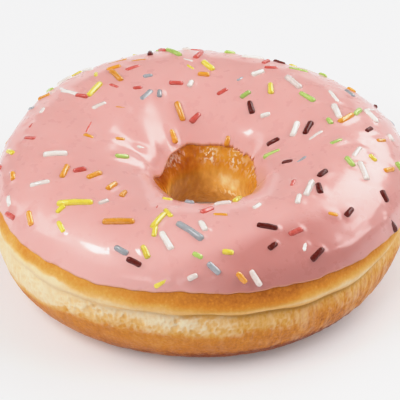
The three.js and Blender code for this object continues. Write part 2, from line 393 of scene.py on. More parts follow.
def icing_inner_edge(azimuth):
    """The section angle where the icing ends in the hole."""
    ripple = waves(azimuth, [(5, 0.012, 60), (9, 0.012, 110), (14, 0.007, 300)])
    return 2.625 + ripple + 0.17 * hump(azimuth, 168, 18) + 0.08 * hump(azimuth, 0, 18)


def icing_lift(azimuth, angle):
    """The height of the icing's top above the dough: it thickens from its edges inwards."""
    sizes = settings().icing
    from_outer = (angle - icing_outer_edge(azimuth)) * SECTION_RADIUS
    from_inner = (icing_inner_edge(azimuth) - angle) * SECTION_RADIUS
    inside = np.minimum(from_outer, from_inner)
    return lerp(sizes.edge_lift, sizes.lift, smooth(inside / sizes.thickening))


# ------------------------ making meshes


def ring_faces(rows, columns):
    """The faces of a grid of points that closes on itself both ways, as four point numbers each."""
    row, column = np.meshgrid(np.arange(rows), np.arange(columns), indexing="ij")
    next_row = (row + 1) % rows
    next_column = (column + 1) % columns
    corners = [(row, column), (next_row, column), (next_row, next_column), (row, next_column)]
    return np.stack([r * columns + c for r, c in corners], axis=-1).reshape(-1, 4)


def rod_faces(number, rings, sides):
    """The faces of many rods, each a stack of rings of points: its sides by four point numbers, and
    a cap at both ends."""
    first = (np.arange(number) * rings * sides)[:, None, None, None]
    ring, side = np.meshgrid(np.arange(rings - 1), np.arange(sides), indexing="ij")
    beside = (side + 1) % sides
    corners = [(ring, side), (ring, beside), (ring + 1, beside), (ring + 1, side)]
    round_faces = np.stack([r * sides + s for r, s in corners], axis=-1) + first
    start = np.arange(sides)[::-1]
    end = (rings - 1) * sides + np.arange(sides)
    caps = np.stack([start, end]) + first[..., 0]
    return [round_faces.reshape(-1, 4), caps.reshape(-1, sides)]


def make_piece(name, points, faces, finish, attributes=None):
    """A mesh object from an array of points, a list of face arrays and values for each point."""
    mesh = bpy.data.meshes.new(name)
    corners = np.concatenate([group.ravel() for group in faces]).astype(np.int32)
    sizes = np.concatenate([np.full(len(group), group.shape[1]) for group in faces])
    starts = np.concatenate([[0], np.cumsum(sizes)[:-1]]).astype(np.int32)
    mesh.vertices.add(points.size // 3)
    mesh.vertices.foreach_set("co", points.astype(np.float32).ravel())
    mesh.loops.add(len(corners))
    mesh.loops.foreach_set("vertex_index", corners)
    mesh.polygons.add(len(sizes))
    mesh.polygons.foreach_set("loop_start", starts)
    mesh.polygons.foreach_set("use_smooth", np.ones(len(sizes), bool))
    mesh.update(calc_edges=True)
    if mesh.validate():
        raise RuntimeError(f"{name} had faces that Blender refused")
    for label, values in (attributes or {}).items():
        layer = mesh.attributes.new(label, "FLOAT", "POINT")
        spread = np.broadcast_to(values, points.shape[:-1])
        layer.data.foreach_set("value", spread.astype(np.float32).ravel())
    mesh.materials.append(finish)
    piece = bpy.data.objects.new(name, mesh)
    bpy.context.scene.collection.objects.link(piece)
    return piece


def dress(piece, node):
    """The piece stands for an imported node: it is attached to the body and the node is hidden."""
    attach(piece, BODY)
    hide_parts(node)


# ------------------------ shader maths


class Value:
    """A socket in a material. An expression on values adds Math nodes."""

    def __init__(self, finish, socket):
        self.finish = finish
        self.socket = socket

    def maths(self, operation, *operands):
        return self.finish.node("ShaderNodeMath", {"operation": operation}, dict(enumerate(operands)))

    def __add__(self, other):
        return self.maths("ADD", self, other)

    __radd__ = __add__

    def __sub__(self, other):
        return self.maths("SUBTRACT", self, other)

    def __rsub__(self, other):
        return self.maths("SUBTRACT", other, self)

    def __mul__(self, other):
        return self.maths("MULTIPLY", self, other)

    __rmul__ = __mul__

    def lesser(self, other):
        return self.maths("MINIMUM", self, other)

    def greater(self, other):
        return self.maths("MAXIMUM", self, other)


class Finish:
    """A material and the one way in which nodes are added to it."""

    def __init__(self, name):
        self.material = bpy.data.materials.new(name)
        self.material.use_nodes = True
        self.tree = self.material.node_tree
        self.tree.nodes.clear()

    def node(self, kind, choices, inputs, output=0):
        """Adds a node: first its settings, or stops for a ramp, then its sockets' values and links."""
        made = self.tree.nodes.new(kind)
        for name, choice in choices.items():
            if name == "stops":
                self.set_stops(made.color_ramp, choice)
            else:
                setattr(made, name, choice)
        for name, given in inputs.items():
            socket = made.inputs[name] if isinstance(name, int) else self.socket_named(made, name)
            if isinstance(given, Value):
                self.tree.links.new(given.socket, socket)
            else:
                socket.default_value = given
        return None if output is None else Value(self, made.outputs[output])

    @staticmethod
    def socket_named(made, name):
        for socket in made.inputs:
            if name in (socket.identifier, socket.name):
                return socket
        raise KeyError(f"{made.bl_idname} has no socket {name}")

    @staticmethod
    def set_stops(ramp, stops):
        while len(ramp.elements) < len(stops):
            ramp.elements.new(0.5)
        for element, (position, shade) in zip(ramp.elements, stops):
            element.position = position
            element.color = (*shade, 1)

    def place(self):
        """Object coordinates, which are the same as the frame's."""
        return self.node("ShaderNodeTexCoord", {}, {}, "Object")

    def attribute(self, name):
        return self.node("ShaderNodeAttribute", {"attribute_name": name}, {}, "Fac")

    def upright(self, place, share):
        """Coordinates on which a pattern is drawn out upwards: its heights count for a share."""
        return self.node("ShaderNodeMapping", {}, {"Vector": place, "Scale": (1, 1, share)})

    def noise(self, place, size, detail=2, roughness=0.5):
        """Noise from 0 to 1 whose features are about as large as size, in metres."""
        inputs = {"Vector": place, "Scale": 1 / size, "Detail": detail, "Roughness": roughness}
        return self.node("ShaderNodeTexNoise", {}, inputs, "Fac")

    def cells(self, place, size):
        """The distance to the nearest of scattered points about size apart, in units of size."""
        return self.node("ShaderNodeTexVoronoi", {}, {"Vector": place, "Scale": 1 / size}, "Distance")

    def ramp(self, factor, stops):
        return self.node("ShaderNodeValToRGB", {"stops": stops}, {"Fac": factor}, "Color")

    def within(self, value, low, high, to_low=0.0, to_high=1.0):
        """The value's place between low and high, as a smooth slope from to_low to to_high."""
        inputs = {"Value": value, "From Min": low, "From Max": high}
        inputs.update({"To Min": to_low, "To Max": to_high})
        return self.node("ShaderNodeMapRange", {"interpolation_type": "SMOOTHSTEP"}, inputs)

    def mixed(self, factor, first, second):
        """Two colours mixed; either may be a link."""
        inputs = {"Factor_Float": factor}
        inputs["A_Color"] = first if isinstance(first, Value) else (*first, 1)
        inputs["B_Color"] = second if isinstance(second, Value) else (*second, 1)
        made = self.node("ShaderNodeMix", {"data_type": "RGBA"}, inputs)
        return Value(self, next(s for s in made.socket.node.outputs if s.identifier == "Result_Color"))

    def bump(self, height, distance, strength=1.0, under=None):
        """A normal bent by a height of 0 to 1 that stands for distance."""
        inputs = {"Height": height, "Distance": distance, "Strength": strength}
        if under is not None:
            inputs["Normal"] = under
        return self.node("ShaderNodeBump", {}, inputs)

    def shader(self, **sockets):
        """A Principled shader with these sockets; _ stands for a space."""
        named = {name.replace("_", " "): given for name, given in sockets.items()}
        return self.node("ShaderNodeBsdfPrincipled", {}, named)

    def ended(self, shader):
        """The material, ended in this shader."""
        self.node("ShaderNodeOutputMaterial", {}, {"Surface": shader}, None)
        return self.material

    def surface(self, **sockets):
        """The material, ended in a Principled shader with these sockets."""
        return self.ended(self.shader(**sockets))


# ------------------------ the dough


def ring_rows(steps):
    """Azimuths of a grid, closer together on the side with the deepest fold."""
    return crowded(-math.pi, math.pi, steps, lambda azimuth: 1 + 1.2 * hump(azimuth, -90, 48))[:, None]


def dough_columns():
    """Section angles of the dough's grid, closest together where the side and the hole show."""
    steps = settings().dough.section_steps

    def busy(angle):
        side = smooth(angle, -1.25, -0.95) * (1 - smooth(angle, 0.55, 0.8))
        near_fold = bell(angle - 0.02, 0.12)
        hole = smooth(angle, 2.35, 2.6) * (1 - smooth(angle, 3.9, 4.2))
        return 0.16 + side + 0.8 * near_fold + 0.45 * hole

    return crowded(-QUARTER, FULL_TURN - QUARTER, steps, busy)


def pale_parts(azimuth, angle):
    """How pale the side is, from 0 to 1: the wide band at the left, the crest of the lower lobe,
    which fades to the right, and two pale stretches of the upper lobe's lip."""
    left = smooth(hump(azimuth, -150, 40), 0.6, 0.84)
    left = left * (1 - 0.9 * hump(azimuth, -176, 9) * smooth(-angle, -0.04, 0.1))
    top = 0.16 + 0.03 * hump(azimuth, -140, 12)
    bottom = -0.15 - 0.25 * hump(azimuth, -152, 14)
    below_top = 1 - smooth(angle, top - 0.04, top + 0.07)
    band = left * below_top * smooth(angle, bottom - 0.14, bottom + 0.07)
    ragged = waves(azimuth, [(13, 0.015, 30), (22, 0.012, 90)])
    low = -0.09 - 0.14 * (1 - hump(azimuth, -117, 14)) + ragged
    crest = np.clip(0.1 + 0.9 * hump(azimuth, -106, 20) + 0.5 * hump(azimuth, 75, 50), 0, 1)
    below_fold = 1 - smooth(angle + 0.06 * hump(azimuth, -75, 24), 0, 0.06)
    lobe = crest * smooth(angle, low - 0.12, low + 0.09) * below_fold
    lip = 0.6 * bell(angle - 0.07, 0.07) * hump(azimuth, -42, 13)
    tongue = 0.5 * bell(angle - 0.12, 0.08) * hump(azimuth, -112, 10)
    return np.maximum.reduce([band, lobe, lip, tongue])


def browning(azimuth, angle, points):
    """How brown the crust is, from 0, pale, to 1, dark. On the side it deepens away from the pale
    parts; along the fold line it is darker, a painted shade, and just above it lighter, a painted
    light on the lip's underside; low at the front's right the base is darker still, a painted shade
    under the overhang. On the wall of the hole it is deepest under the icing and at the back's
    left, with a painted shade in the groove under the icing's lip at the left, and there is a pale
    patch low at the back's right."""
    turned = from_waist(angle)
    darker = 0.19 * hump(azimuth, -72, 20) - 0.18 * hump(azimuth, -134, 24)
    upper = 0.2 + 0.42 * smooth(turned, 0.03, 0.36) + darker * smooth(turned, 0.05, 0.15)
    lower = 0.2 + 0.42 * smooth(-turned, -0.02, 0.36) + 0.14 * smooth(-turned, 0.4, 0.8)
    # Along the fold line darker, a painted shade, and just above it lighter, a painted light on the
    # lip's underside.
    fold_shade_and_light = 0.14 * bell(turned + 0.01, 0.05) - 0.1 * bell(turned - 0.09, 0.05)
    upper = upper + fold_shade_and_light * hump(azimuth, -78, 28)
    lower = lower + 0.14 * hump(azimuth, -45, 22) * bell(turned + 0.14, 0.14)
    lower = lower + 0.12 * hump(azimuth, -62, 14) * bell(turned + 0.06, 0.07)
    # Painted shade: the base low at the front's right is darker, under the overhang near the floor.
    lower = lower + 0.5 * hump(azimuth, -62, 24) * smooth(-turned, 0.62, 0.82)
    side = lerp(lower, upper, smooth(turned, -0.06, 0.06))
    side = side - 0.1 * hump(azimuth, -42, 10) * bell(turned, 0.3)
    uneven = angle + 0.06 * noise(points, 4 * MM, 13) + 0.03 * noise(points @ LEANING, 1.3 * MM, 14)
    side = lerp(side, 0.0, pale_parts(azimuth, from_waist(uneven)))
    rim = 1 - smooth(np.abs(turned), 2.8, 3.15)
    # The rise near 178 degrees is a painted shade in the groove under the icing's lip at the left.
    high = 0.5 + 0.38 * hump(azimuth, 135, 28) + 0.3 * hump(azimuth, 178, 12)
    low = 0.17 + 0.52 * hump(azimuth, 125, 30) + 0.3 * hump(azimuth, 12, 20)
    low = low - 0.45 * hump(azimuth, 62, 16) * bell(angle - 3.38, 0.17)
    wall = lerp(low, high, rim) + 0.12 * smooth(angle, 3.25, 3.6)
    mottle = 0.05 * noise(points, 9 * MM, 11) + 0.06 * noise(points, 3 * MM, 12)
    return np.clip(lerp(side, wall, in_hole(turned)) + mottle, 0, 1)


def wrinkles(azimuth, angle, points):
    """Fine worm-like wrinkles on the crest of the lower lobe: ridges where smooth noise is near 0,
    in patches, strongest left of the middle, and fibres down the lobe at the right."""
    turned = from_waist(angle)
    below = fold_line(azimuth) - turned
    under = smooth(below, -0.02, 0.05)
    crest = under * (1 - smooth(below, 0.18, 0.34))
    patch = 0.45 + 0.55 * smooth(noise(points, 6 * MM, 21), -0.3, 0.4)
    ridges = 1 - 2.6 * np.abs(noise(points @ LEANING, 1.05 * MM, 22))
    finer = 1 - 2.6 * np.abs(noise(points @ LEANING, 0.65 * MM, 23))
    where = 0.2 + 0.9 * hump(azimuth, -106, 21) + 0.4 * hump(azimuth, 80, 60)
    worms = (0.6 * ridges + 0.4 * finer) * where
    fibres = 0.35 * noise(points, (0.9 * MM, 0.9 * MM, 6 * MM), 24) * (0.15 + hump(azimuth, -42, 20))
    return crest * patch * worms + under * (1 - smooth(below, 0.6, 1.0)) * fibres


def painted_glints(azimuth, angle):
    """Where the wall of the hole gets painted glints, pale specks that stand for the shine of wet
    glaze: in patches under its rim and in a streak lower down."""
    patches = hump(azimuth, 88, 6) + 0.9 * hump(azimuth, 55, 7) + 0.5 * hump(azimuth, 24, 9)
    left = 0.3 * hump(azimuth, 140, 10)
    streak = 0.8 * hump(azimuth, 60, 9) * bell(angle - 3.36, 0.06)
    return np.clip((patches + left) * bell(angle - 2.78, 0.14) + streak, 0, 1)


def fibrous(azimuth, turned):
    """Where the lower lobe is streaked: at the right, and faintly all round."""
    below = fold_line(azimuth) - turned
    share_there = 0.2 + 0.8 * hump(azimuth, -40, 24)
    return share_there * smooth(below, 0.0, 0.06) * (1 - smooth(below, 0.6, 0.9))


def dough_relief(azimuth, angle, points):
    """The crust's relief along its outward direction, apart from the wrinkles: the small blisters
    of fried dough, a notch in the lower lobe with a bulge beside it, and the runs of glaze down
    the wall of the hole."""
    sizes = settings().dough
    turned = from_waist(angle)
    blisters = noise(points, 1.3 * MM, 31) + 0.6 * noise(points, 0.7 * MM, 32)
    broad = noise(points, 5 * MM, 33)
    low = 0.55 + 0.6 * smooth(-turned, 0.3, 1.1)
    notch = bell(turned + 0.14, 0.09) * hump(azimuth, -88, 2.2)
    bulge = bell(turned + 0.2, 0.14) * hump(azimuth, -97, 6)
    falls = np.maximum(noise(points, (1.1 * MM, 1.1 * MM, 4 * MM), 34), 0)
    runs = falls * bell(np.abs(turned) - 2.75, 0.16)
    crust = sizes.blister * (low * blisters + 0.9 * broad)
    lobe = (0.3 * bulge - 0.45 * notch) * MM
    glaze = sizes.glaze_run * runs * (0.35 + 0.65 * hump(azimuth, 70, 40))
    return crust + lobe + glaze


def evenly(looks, *names):
    """Stops of a ramp, evenly spaced, in the named colours."""
    return [(place / (len(names) - 1), getattr(looks, name)) for place, name in enumerate(names)]


def crust_finish():
    """Fried crust: its colour follows the browning, with mottling and fine specks. The wall of the
    hole is amber and has a second shader, wet with glaze, that is mixed in there."""
    looks = settings().colours
    finish = Finish("crust")
    place = finish.place()
    browning = finish.attribute("browning")
    glaze = finish.attribute("glaze")
    mottle = finish.noise(place, 4.5 * MM, 4, 0.6) - 0.5
    specks = finish.noise(place, 0.7 * MM, 3, 0.6) - 0.5
    dots = finish.within(finish.cells(place, 1.2 * MM), 0.12, 0.32, 1.0, 0.0)
    streaks = finish.noise(finish.upright(place, 0.16), 0.5 * MM, 3, 0.6) - 0.5
    ridge = finish.attribute("ridge")
    dry_tone = (0.3 * mottle + 0.35 * specks) * (0.35 + browning) - 0.13 * dots * browning
    # Lighter on the wrinkles' tops and darker in their hollows: a painted highlight and a painted
    # shade.
    dry_tone = dry_tone - 0.08 * ridge + (streaks + 0.08) * finish.attribute("fibrous")
    drips = finish.noise(finish.upright(place, 0.45), 1.1 * MM, 2, 0.4)
    wet_tone = 0.3 * mottle + 0.45 * (drips - 0.5)
    tone = browning + dry_tone * (1 - glaze) + wet_tone * glaze
    side = finish.ramp(tone, evenly(looks, "pale", "straw", "gold", "brown", "deep", "dark"))
    rim = finish.ramp(tone, evenly(looks, "crumb", "honey", "amber", "russet", "burnt"))
    core = finish.ramp(tone, evenly(looks, "crumb", "honey", "olive", "umber"))
    wall = finish.mixed(finish.attribute("core"), rim, core)
    # Painted highlight: the wrinkles' tops in the pale band turn to the highlight colour.
    side = finish.mixed((0.65 * ridge).greater(0.0), side, looks.highlight_cream)
    shade = finish.mixed(glaze, side, wall)
    # Painted glints: pale specks in the highlight colour on the wall of the hole, for the shine of wet
    # glaze.
    glint_spots = finish.noise(finish.upright(place, 0.3), 0.6 * MM, 1)
    sugar = finish.within(glint_spots, 0.52, 0.62) * finish.attribute("sugar")
    shade = finish.mixed(sugar, shade, looks.highlight_cream)
    # Painted shade in the crease of the fold.
    shade = finish.mixed(finish.attribute("crease"), shade, looks.crease)
    fibres = finish.noise(finish.upright(place, 0.6), 0.75 * MM, 3, 0.6)
    pores = finish.cells(place, 0.9 * MM)
    skin = finish.bump(fibres * 0.35 + pores * 0.15, 0.5 * MM, 1.0)
    dry = finish.shader(
        Base_Color=shade,
        Roughness=finish.within(finish.noise(place, 2.5 * MM, 2), 0.35, 0.65, 0.35, 0.5),
        Normal=finish.bump(finish.noise(place, 0.35 * MM, 2), 0.06 * MM, 0.6, skin),
        Specular_IOR_Level=0.1,
    )
    wet = finish.shader(
        Base_Color=shade,
        Roughness=finish.within(finish.noise(place, 1.6 * MM, 2), 0.35, 0.65, 0.08, 0.16),
        Normal=finish.bump(drips, 0.3 * MM, 1.0),
        Specular_IOR_Level=0.35,
    )
    both = {0: finish.attribute("wet"), 1: dry, 2: wet}
    return finish.ended(finish.node("ShaderNodeMixShader", {}, both))


def make_dough():
    """The ring of dough: the bare form on a grid of both angles, with its relief added outwards."""
    sizes = settings().dough
    azimuth = ring_rows(sizes.ring_steps)
    angle = dough_columns()[None, :]
    form = dough_point(azimuth, angle)
    out = dough_frame(azimuth, angle)[2]
    wrinkled = wrinkles(azimuth, angle, form)
    relief = dough_relief(azimuth, angle, form) + sizes.wrinkle * wrinkled
    points = form + out * relief[..., None]
    points[..., 2] = np.maximum(points[..., 2], 0)
    turned = from_waist(angle)
    # Where the crease of the fold is painted darker, a painted shade.
    crease = crease_depth(azimuth) * bell(turned - fold_line(azimuth), 0.024)
    hole = in_hole(turned)
    attributes = {
        "browning": browning(azimuth, angle, form),
        "crease": np.clip(0.75 * crease, 0, 1),
        # The wrinkles' height, by which their tops are painted lighter and their hollows darker.
        "ridge": np.clip(wrinkled, -0.6, 1),
        "fibrous": fibrous(azimuth, turned),
        "glaze": hole,
        "wet": hole * (1 - 0.85 * smooth(angle, 3.25, 3.5)),
        "core": smooth(angle, 2.9, 3.2) * (1 - 0.7 * hump(azimuth, 12, 18)) * hole,
        # Where the wall of the hole is specked pale: painted glints for the shine of wet glaze.
        "sugar": painted_glints(azimuth, angle),
    }
    faces = [ring_faces(sizes.ring_steps, sizes.section_steps)]
    piece = make_piece("dough_ring", points, faces, crust_finish(), attributes)
    dress(piece, "dough")


# ------------------------ the icing


def icing_finish():
    """Set sugar icing: glossy, with a little light passing into it, deeper pink in soft clouds and
    where it is thin, most at the front's right, but kept lighter at the front's left, a painted
    light; and towards the crust's gold at its very edge."""
    looks = settings().colours
    finish = Finish("icing")
    place = finish.place()
    edge = finish.attribute("edge")
    cloud = finish.noise(place, 14 * MM, 3) - 0.5
    deep = finish.attribute("deep") + 0.35 * cloud
    shade = finish.mixed(deep.greater(0.0), looks.icing, looks.icing_deep)
    shade = finish.mixed(edge, shade, [lerp(a, b, 0.5) for a, b in zip(looks.icing_deep, looks.gold)])
    ripple = finish.bump(finish.noise(place, 7 * MM, 1), 0.2 * MM, 0.4)
    grain = finish.bump(finish.noise(place, 0.9 * MM, 3), 0.02 * MM, 0.5, ripple)
    return finish.surface(
        Base_Color=shade,
        Roughness=finish.within(finish.noise(place, 3 * MM, 3), 0.3, 0.7, 0.26, 0.36),
        Normal=grain,
        Specular_IOR_Level=0.3,
        Coat_Weight=0.7,
        Coat_Roughness=0.12,
        Subsurface_Weight=0.25,
        Subsurface_Radius=(1.0, 0.45, 0.4),
        Subsurface_Scale=1.2 * MM,
    )


def sprinkle_rise(points, sprinkles):
    """How much the icing rises beside each sprinkle: a bell curve of the distance to the nearest
    sprinkle's middle line."""
    nearest = np.full(points.shape[:-1], 1.0)
    for one in sprinkles:
        offset = points - one["spot"]
        reach = one["length"] / 2 - one["thickness"] / 2
        along = np.clip(offset @ one["along"], -reach, reach)
        gap = np.linalg.norm(offset - along[..., None] * one["along"], axis=-1)
        nearest = np.minimum(nearest, gap - one["thickness"] / 2)
    return bell(np.maximum(nearest, 0), 0.7 * MM)


def icing_flow(azimuth, angle, points):
    """Soft undulation over all; where the icing runs down into the hole at the left, uneven folds,
    a crumple, a lip and a ridge that leans; a dimple beside the hole at the back's right; and
    uneven drapes above the outer edge at the front's right."""
    sizes = settings().icing
    broad = noise(points, 9 * MM, 41) + 0.3 * noise(points, 4 * MM, 42)
    turned = azimuth + 0.12 * np.sin(4 * angle)
    folds = waves(turned, [(9, 0.2, 150), (14, 0.2, 20), (23, 0.1, 200)])
    folds = folds * (0.2 + hump(azimuth, 172, 20)) * smooth(angle, 1.75, 2.3)
    crumple = 0.75 * noise(points, 3.2 * MM, 44) * hump(azimuth, 164, 17) * smooth(angle, 1.6, 2.1)
    lip = 1.6 * hump(azimuth, 186, 11) * bell(angle - 2.42, 0.2)
    leaning = azimuth - 0.55 * (angle - 2.3)
    ridge = (1.5 * hump(leaning, 146, 8) - 0.7 * hump(leaning, 164, 10)) * smooth(angle, 1.8, 2.2)
    dimple = -0.9 * hump(azimuth, 50, 7) * bell(angle - 2.3, 0.14)
    drape = 1.3 * noise(points, (7 * MM, 4 * MM, 2.6 * MM), 43) * hump(azimuth, -36, 13)
    drape = drape * bell(angle - 0.75, 0.28)
    return sizes.ripple * broad + sizes.run * (folds + crumple + lip + ridge + dimple + drape)


def make_icing():
    """The icing, one closed skin: over its top from the outer edge to the edge in the hole, and
    back underneath. Its edges are quarter rounds, with small scallops outside and a fringe in the
    hole."""
    sizes = settings().icing
    azimuth = ring_rows(sizes.ring_steps)
    scallops = waves(azimuth, [(23, 0.007, 300), (41, 0.006, 10), (67, 0.005, 90)])
    ragged = waves(azimuth, [(31, 0.014, 10), (57, 0.014, 80), (83, 0.012, 200), (127, 0.008, 40)])
    fringe = ragged * (0.12 + hump(azimuth, 28, 22))
    outer = icing_outer_edge(azimuth) + scallops
    inner = icing_inner_edge(azimuth) + fringe - 0.1 * hump(azimuth, 188, 18)

    def busy(part):
        return 0.35 + bell(part, 0.03) * 6 + bell(part - 1, 0.03) * 6 + bell(part, 0.25) * 0.4

    top_parts = np.append(crowded(0, 1, sizes.top_steps, busy), 1)[None, :]
    under_parts = (1 - np.arange(1, sizes.under_steps) / sizes.under_steps)[None, :]
    top = lerp(outer, inner, top_parts)
    inside = np.minimum(top - outer, inner - top) * SECTION_RADIUS
    form = dough_point(azimuth, top)
    out = dough_frame(azimuth, top)[2]
    lift = icing_lift(azimuth, top)
    round_edge = np.sqrt(1 - (1 - np.clip(inside / sizes.bead, 0, 1)) ** 2)
    full = smooth(inside / sizes.thickening)
    ripple = (0.4 + 0.6 * full) * icing_flow(azimuth, top, form)
    rise = sprinkle_rise(form + out * lift[..., None], sprinkle_places())
    beside = sizes.meniscus * round_edge * rise
    height = round_edge * (lift + ripple) + beside - sizes.overlap * (1 - round_edge)
    top_points = form + out * height[..., None]
    under = lerp(outer, inner, under_parts)
    under_points = lifted_point(azimuth, under, np.full(under.shape, -sizes.overlap))
    points = np.concatenate([top_points, under_points], axis=1)
    edge = 0.55 * (1 - smooth(inside, 0.15 * MM, 0.9 * MM))

    # Deeper pink up from the outer edge, most at the front's right, and a little elsewhere, apart
    # from the front's left, which is kept lighter: a painted light.
    until = 0.75 + 0.4 * hump(azimuth, -58, 22)
    thin = (1 - smooth(top, until, until + 0.4)) * (0.05 + 0.8 * hump(azimuth, -62, 22))
    # Painted light: the front's left is kept a lighter pink.
    lighter = hump(azimuth, -122, 24) * (1 - smooth(top, 0.9, 1.4))
    attributes = {
        "edge": np.concatenate([edge, np.ones(under.shape)], axis=1),
        "deep": np.concatenate([thin + 0.36 * (1 - lighter), np.zeros(under.shape)], axis=1),
    }
    faces = [ring_faces(*points.shape[:2])]
    piece = make_piece("icing_layer", points, faces, icing_finish(), attributes)
    dress(piece, "icing")


# ------------------------ the sprinkles

# The largest sprinkles, listed one by one, for each colour. Azimuth and section angle in degrees;
# heading in degrees from the way round the ring towards the way over the section; length in
# millimetres. The order of all of them is the order of the imported solids.
LAID_SPRINKLES = [
    ("yellow", [(-142, 78, 48, 8), (-143, 68, 98, 2.5), (-108, 91, 81, 6), (-81, 65, 168, 2.5)]),
    ("yellow", [(140, 84, 12, 6), (87, 87, 128, 4.5), (54, 97, 128, 4)]),
    ("orange", [(-122, 81, 28, 7), (-148, 47, 156, 4), (-144, 104, 109, 3.5), (109, 124, 88, 5.5)]),
    ("orange", [(124, 140, 80, 3.5), (68, 146, 94, 2.5), (127, 82, 83, 5.5), (-78, 41, 126, 3)]),
    ("orange", [(17, 78, 120, 5)]),
    ("lime", [(100, 64, 116, 6)]),
    ("chocolate", [(108, 61, 78, 3)]),
    ("lime", [(65, 109, 67, 3), (-11, 80, 38, 3.5)]),
    ("grey", [(-94, 85, 141, 7.5), (-115, 58, 166, 3.5), (-86, 51, 134, 3.5)]),
    ("chocolate", [(-110, 51, 165, 3.5), (-64, 82, 145, 4.5), (-66, 64, 25, 2.5), (-54, 45, 20, 4)]),
    ("chocolate", [(-35, 61, 5, 3), (-22, 92, 161, 3), (-32, 88, 41, 3.5), (17, 103, 140, 4.5)]),
    ("chocolate", [(58, 117, 131, 4)]),
    ("coral", [(-56, 70, 1, 3.5), (-88, 110, 42, 3.5), (-160, 93, 89, 3)]),
    ("white", [(-102, 74, 126, 5.5), (-89, 90, 110, 3.5), (-173, 83, 84, 5.5), (-74, 39, 114, 4)]),
    ("white", [(48, 84, 164, 6), (21, 111, 142, 5), (-34, 93, 16, 5.5), (-14, 70, 30, 6)]),
    ("white", [(-78, 122, 10, 4), (22, 81, 171, 5.5)]),
]

# How often each colour is drawn, at the left and at the right of the ring.
DRAWN_COLOURS = {
    "orange": (0.19, 0.13),
    "yellow": (0.12, 0.12),
    "lime": (0.10, 0.14),
    "white": (0.20, 0.22),
    "coral": (0.26, 0.12),
    "chocolate": (0.0, 0.20),
    "grey": (0.13, 0.07),
}

# The X between which the one changes to the other.
LEFT_TO_RIGHT = (-14 * MM, 10 * MM)


def draws(seed):
    """The numbers of a seeded linear congruential generator, each from 0 up to 1."""
    multiplier, increment, modulus = 1664525, 1013904223, 2**32
    state = seed
    while True:
        state = (state * multiplier + increment) % modulus
        yield state / modulus


# How close to the icing's outer and inner edges a scattered sprinkle may be, as section angles,
# and how many places are tried at most.
OUTER_MARGIN = 0.17
INNER_MARGIN = 0.34
MOST_TRIES = 4000


def sprinkle_thickness(length, part):
    sizes = settings().sprinkles
    return sizes.least_thickness + sizes.for_length * length + sizes.more_thickness * part


def sprinkle_spot(azimuth, angle):
    """A place on the full icing, from which the spacing is measured."""
    return lifted_point(azimuth, angle, settings().icing.lift)


def sprinkle_chance(azimuth, angle, spot):
    """How likely a drawn place is to be used: even by area, more at the back, less low in front."""
    sizes = settings().dough
    reach = math.hypot(spot[0] - sizes.centre_x, spot[1] - sizes.centre_y) / sizes.outer_radius
    back = (1 + 0.3 * math.sin(azimuth)) / 1.3
    low_front = max(-math.sin(azimuth), 0) * max(math.cos(angle), 0)
    return reach * back * (1 - 0.6 * low_front)


def scattered_sprinkles():
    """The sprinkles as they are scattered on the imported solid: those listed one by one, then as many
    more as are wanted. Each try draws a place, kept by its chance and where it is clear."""
    sizes = settings().sprinkles
    laid = [(colour_name, *one) for colour_name, group in LAID_SPRINKLES for one in group]
    places = []
    for colour_name, *angles, length in laid:
        azimuth, angle, heading = map(math.radians, angles)
        thickness = sprinkle_thickness(length * MM, 0.5)
        spot = sprinkle_spot(azimuth, angle)
        places.append((colour_name, azimuth, angle, heading, length * MM, thickness, spot))
    draw = draws(sizes.seed)
    for _ in range(MOST_TRIES):
        if len(places) >= sizes.amount:
            break
        azimuth = FULL_TURN * next(draw)
        lowest = icing_outer_edge(azimuth) + OUTER_MARGIN
        angle = lerp(lowest, icing_inner_edge(azimuth) - INNER_MARGIN, next(draw))
        spot = sprinkle_spot(azimuth, angle)
        wanted = next(draw) < sprinkle_chance(azimuth, angle, spot)
        heading = math.pi * next(draw)
        length = sizes.least_length + sizes.more_length * next(draw) ** 2
        thickness = sprinkle_thickness(length, next(draw))
        clear = all(np.linalg.norm(spot - other[-1]) > sizes.spacing for other in places)
        if wanted and clear:
            places.append((None, azimuth, angle, heading, length, thickness, spot))
    return places


def sprinkle_places():
    """Each sprinkle with its colour, its place on the icing and the directions it lies in."""
    colours_drawn = np.random.default_rng(settings().sprinkles.colour_seed)
    names = list(DRAWN_COLOURS)
    sprinkles = []
    for colour_name, azimuth, angle, heading, length, thickness, spot in scattered_sprinkles():
        rightness = float(smooth(spot[0], *LEFT_TO_RIGHT))
        odds = np.array([lerp(*DRAWN_COLOURS[name], rightness) for name in names])
        drawn = str(colours_drawn.choice(names, p=odds / odds.sum()))
        sunk = 0 if colour_name else settings().sprinkles.sink * colours_drawn.random() ** 1.5
        around, over, out = dough_frame(azimuth, angle)
        along = around * math.cos(heading) + over * math.sin(heading)
        lift = float(icing_lift(azimuth, angle)) + settings().sprinkles.rise - sunk
        sprinkles.append({
            "colour": colour_name or drawn,
            "heading": heading,
            "length": length,
            "thickness": thickness,
            "spot": dough_point(azimuth, angle) + out * lift,
            "along": along,
            "side": np.cross(along, out),
            "out": out,
        })
    return sprinkles


# Rings along a sprinkle: how far from its end in thicknesses, and how thick it is there.
SPRINKLE_RINGS = [(0.0, 0.42), (0.07, 0.74), (0.24, 0.95), (0.5, 1.0)]
SPRINKLE_SIDES = 8

# The radius that the icing bends by along the way round the ring, and how far a sprinkle bends
# with it, where 0.5 is all the way.
RING_CURVE = 40 * MM
BEND = 0.28

# How uneven the sprinkles are, as shares: thinner towards one end, swayed, and dented.
TAPER = 0.07
SWAY = 0.035
DENTED = (0.9, 1.06)


